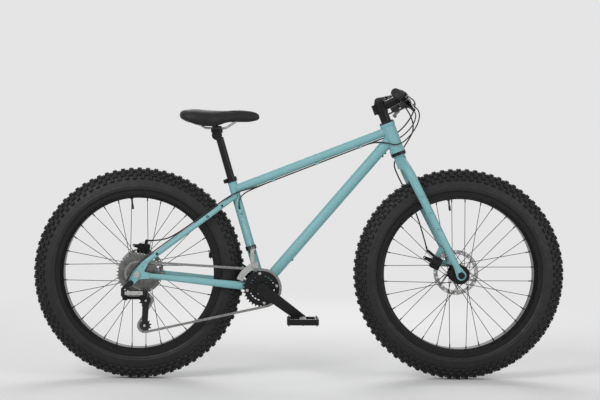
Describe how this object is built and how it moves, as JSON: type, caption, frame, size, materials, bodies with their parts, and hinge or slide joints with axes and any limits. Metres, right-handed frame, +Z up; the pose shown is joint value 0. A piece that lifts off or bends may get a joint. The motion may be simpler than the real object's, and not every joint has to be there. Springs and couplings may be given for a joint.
{
  "type": "fat tire bicycle",
  "caption": "Rigid fat tire bicycle with wide knobbly tires, disc brakes, derailleur gears, flat handlebar and platform pedals on a slim welded frame.",
  "frame": {"origin": "on the floor, midway between the two axles, in the bicycle's middle plane", "axes": "+X forward, +Y to the rider's left, +Z up; the chain is on the -Y side"},
  "size_m": [1.8668, 0.721, 1.0141],
  "materials": {
    "bare_steel": "brushed",
    "black_aluminium": "anodised",
    "black_metal": "satin",
    "black_plastic": "matte",
    "frame_paint": "gloss",
    "grip_rubber": "matte",
    "housing_black": "gloss",
    "saddle_cover": "satin",
    "tire_rubber": "matte",
    "tube_rubber": "matte"
  },
  "bodies": {
    "frame": {"front_triangle": "frame_paint", "rear_triangle": "frame_paint", "headset_cups": "black_aluminium", "bottom_bracket_cups": "black_aluminium", "seat_collar": "black_aluminium", "rear_axle": "black_metal", "front_derailleur_mount": "black_aluminium", "rear_caliper": "black_aluminium", "frame_housings": "housing_black", "chain": "bare_steel", "derailleur_knuckle": "black_aluminium"},
    "fork": {"fork": "frame_paint", "headset_spacers": "black_aluminium", "stem": "black_aluminium", "stem_faceplate": "black_aluminium", "handlebar": "black_aluminium", "grips": "grip_rubber", "brake_brackets": "black_aluminium", "shifter_pods": "black_plastic", "front_axle": "black_metal", "front_caliper": "black_aluminium", "front_brake_housing": "housing_black", "cable_loops": "housing_black"},
    "brake_lever_right": {"brake_lever_right": "black_aluminium"},
    "brake_lever_left": {"brake_lever_left": "black_aluminium"},
    "shift_paddle_right": {"shift_paddle_right": "black_plastic"},
    "shift_paddle_left": {"shift_paddle_left": "black_plastic"},
    "shift_trigger_right": {"shift_trigger_right": "black_plastic"},
    "shift_trigger_left": {"shift_trigger_left": "black_plastic"},
    "front_wheel": {"front_tire": "tire_rubber", "front_inner_tube": "tube_rubber", "front_rim": "black_aluminium", "front_spokes": "black_metal", "front_hub": "black_aluminium", "front_rotor": "bare_steel"},
    "rear_wheel": {"rear_tire": "tire_rubber", "rear_inner_tube": "tube_rubber", "rear_rim": "black_aluminium", "rear_spokes": "black_metal", "rear_hub": "black_aluminium", "rear_rotor": "bare_steel"},
    "cassette": {"cassette": "bare_steel"},
    "crank": {"crank_arm_right": "black_aluminium", "crank_arm_left": "black_aluminium", "chainrings": "black_aluminium"},
    "pedal_right": {"pedal_right": "black_aluminium"},
    "pedal_left": {"pedal_left": "black_aluminium"},
    "derailleur_outer_link": {"derailleur_outer_link": "black_aluminium"},
    "derailleur_inner_link": {"derailleur_inner_link": "black_aluminium"},
    "derailleur_body": {"derailleur_body": "black_aluminium"},
    "derailleur_cage": {"derailleur_cage": "black_metal"},
    "guide_pulley": {"guide_pulley": "black_plastic"},
    "tension_pulley": {"tension_pulley": "black_plastic"},
    "front_derailleur_cage": {"front_derailleur_cage": "black_metal"},
    "front_caliper_arm": {"front_caliper_arm": "black_aluminium"},
    "rear_caliper_arm": {"rear_caliper_arm": "black_aluminium"},
    "seatpost": {"seatpost": "black_aluminium"},
    "saddle": {"seat_clamp": "black_aluminium", "saddle": "saddle_cover", "saddle_rails": "bare_steel"}
  },
  "joints": [
    {"name": "steering", "type": "hinge", "parent": "frame", "child": "fork", "pos_m": [0.34768, 0, 0.79948], "axis": [-0.3584, 0, 0.9336], "range_deg": [-60, 60], "stiffness_Nm_per_rad": 1.5, "deforming": ["cable_loops"]},
    {"name": "front_wheel", "type": "hinge", "parent": "fork", "child": "front_wheel", "pos_m": [0.5625, 0, 0.371], "axis": [0, 1, 0], "continuous": true},
    {"name": "rear_wheel", "type": "hinge", "parent": "frame", "child": "rear_wheel", "pos_m": [-0.5625, 0, 0.371], "axis": [0, 1, 0], "continuous": true},
    {"name": "crank", "type": "hinge", "parent": "frame", "child": "crank", "pos_m": [-0.12915, 0, 0.323], "axis": [0, 1, 0], "continuous": true, "deforming": ["chain"]},
    {"name": "cassette", "type": "hinge", "parent": "frame", "child": "cassette", "pos_m": [-0.5625, -0.065, 0.371], "axis": [0, 1, 0], "continuous": true},
    {"name": "pedal_right", "type": "hinge", "parent": "crank", "child": "pedal_right", "pos_m": [0.01045, -0.167, 0.22082], "axis": [0, 1, 0], "continuous": true},
    {"name": "pedal_left", "type": "hinge", "parent": "crank", "child": "pedal_left", "pos_m": [-0.26875, 0.167, 0.42518], "axis": [0, 1, 0], "continuous": true},
    {"name": "derailleur_shift", "type": "hinge", "parent": "frame", "child": "derailleur_outer_link", "pos_m": [-0.6005, -0.11304, 0.3056], "axis": [0, 0.6225, 0.7826], "range_deg": [-22, 22], "stiffness_Nm_per_rad": 3},
    {"name": "derailleur_inner_link", "type": "hinge", "parent": "frame", "child": "derailleur_inner_link", "pos_m": [-0.6005, -0.09896, 0.2944], "axis": [0, 0.6225, 0.7826], "range_deg": [-22, 22]},
    {"name": "derailleur_body", "type": "hinge", "parent": "derailleur_outer_link", "child": "derailleur_body", "pos_m": [-0.5425, -0.11304, 0.3056], "axis": [0, 0.6225, 0.7826], "range_deg": [-22, 22]},
    {"name": "derailleur_cage", "type": "hinge", "parent": "derailleur_body", "child": "derailleur_cage", "pos_m": [-0.5325, -0.075, 0.301], "axis": [0, 1, 0], "range_deg": [-40, 22], "stiffness_Nm_per_rad": 1},
    {"name": "guide_pulley", "type": "hinge", "parent": "derailleur_cage", "child": "guide_pulley", "pos_m": [-0.53346, -0.068, 0.27902], "axis": [0, 1, 0], "continuous": true},
    {"name": "tension_pulley", "type": "hinge", "parent": "derailleur_cage", "child": "tension_pulley", "pos_m": [-0.53731, -0.068, 0.1911], "axis": [0, 1, 0], "continuous": true},
    {"name": "front_derailleur", "type": "hinge", "parent": "frame", "child": "front_derailleur_cage", "pos_m": [-0.16315, -0.06, 0.449], "axis": [1, 0, 0], "range_deg": [0, 8], "stiffness_Nm_per_rad": 4, "springref_deg": -5.73},
    {"name": "brake_lever_right", "type": "hinge", "parent": "fork", "child": "brake_lever_right", "pos_m": [0.3631, -0.21521, 0.96345], "axis": [-0.6819, 0.1325, -0.7193], "range_deg": [0, 22], "stiffness_Nm_per_rad": 1.5, "springref_deg": -8.59},
    {"name": "shift_paddle_right", "type": "hinge", "parent": "fork", "child": "shift_paddle_right", "pos_m": [0.35593, -0.17511, 0.96475], "axis": [0.4608, -0.0896, -0.8829], "range_deg": [0, 30], "stiffness_Nm_per_rad": 0.3, "springref_deg": -11.46},
    {"name": "shift_trigger_right", "type": "hinge", "parent": "fork", "child": "shift_trigger_right", "pos_m": [0.35593, -0.17511, 0.96475], "axis": [-0.4608, 0.0896, 0.8829], "range_deg": [0, 18], "stiffness_Nm_per_rad": 0.3, "springref_deg": -11.46},
    {"name": "brake_lever_left", "type": "hinge", "parent": "fork", "child": "brake_lever_left", "pos_m": [0.3631, 0.21521, 0.96345], "axis": [0.6819, 0.1325, 0.7193], "range_deg": [0, 22], "stiffness_Nm_per_rad": 1.5, "springref_deg": -8.59},
    {"name": "shift_paddle_left", "type": "hinge", "parent": "fork", "child": "shift_paddle_left", "pos_m": [0.35593, 0.17511, 0.96475], "axis": [-0.4608, -0.0896, 0.8829], "range_deg": [0, 30], "stiffness_Nm_per_rad": 0.3, "springref_deg": -11.46},
    {"name": "shift_trigger_left", "type": "hinge", "parent": "fork", "child": "shift_trigger_left", "pos_m": [0.35593, 0.17511, 0.96475], "axis": [0.4608, 0.0896, -0.8829], "range_deg": [0, 18], "stiffness_Nm_per_rad": 0.3, "springref_deg": -11.46},
    {"name": "front_caliper_arm", "type": "hinge", "parent": "fork", "child": "front_caliper_arm", "pos_m": [0.49, 0.09, 0.40481], "axis": [0, 1, 0], "range_deg": [0, 20]},
    {"name": "rear_caliper_arm", "type": "hinge", "parent": "frame", "child": "rear_caliper_arm", "pos_m": [-0.55275, 0.098, 0.4504], "axis": [0, 1, 0], "range_deg": [0, 20]},
    {"name": "seatpost_height", "type": "slide", "parent": "frame", "child": "seatpost", "axis": [-0.279, 0, 0.9603], "range_m": [-0.1, 0.06]},
    {"name": "saddle_tilt", "type": "hinge", "parent": "seatpost", "child": "saddle", "pos_m": [-0.29048, 0, 0.85632], "axis": [0, 1, 0], "range_deg": [-10, 10]}
  ],
  "couplings": [
    {"joint": "cassette", "follows": "crank", "ratio": 1.5238},
    {"joint": "guide_pulley", "follows": "crank", "ratio": -2.9091},
    {"joint": "tension_pulley", "follows": "crank", "ratio": 2.9091},
    {"joint": "derailleur_inner_link", "follows": "derailleur_shift", "ratio": 1},
    {"joint": "derailleur_body", "follows": "derailleur_shift", "ratio": -1},
    {"joint": "front_caliper_arm", "follows": "brake_lever_left", "ratio": 0.9},
    {"joint": "rear_caliper_arm", "follows": "brake_lever_right", "ratio": 0.9}
  ]
}
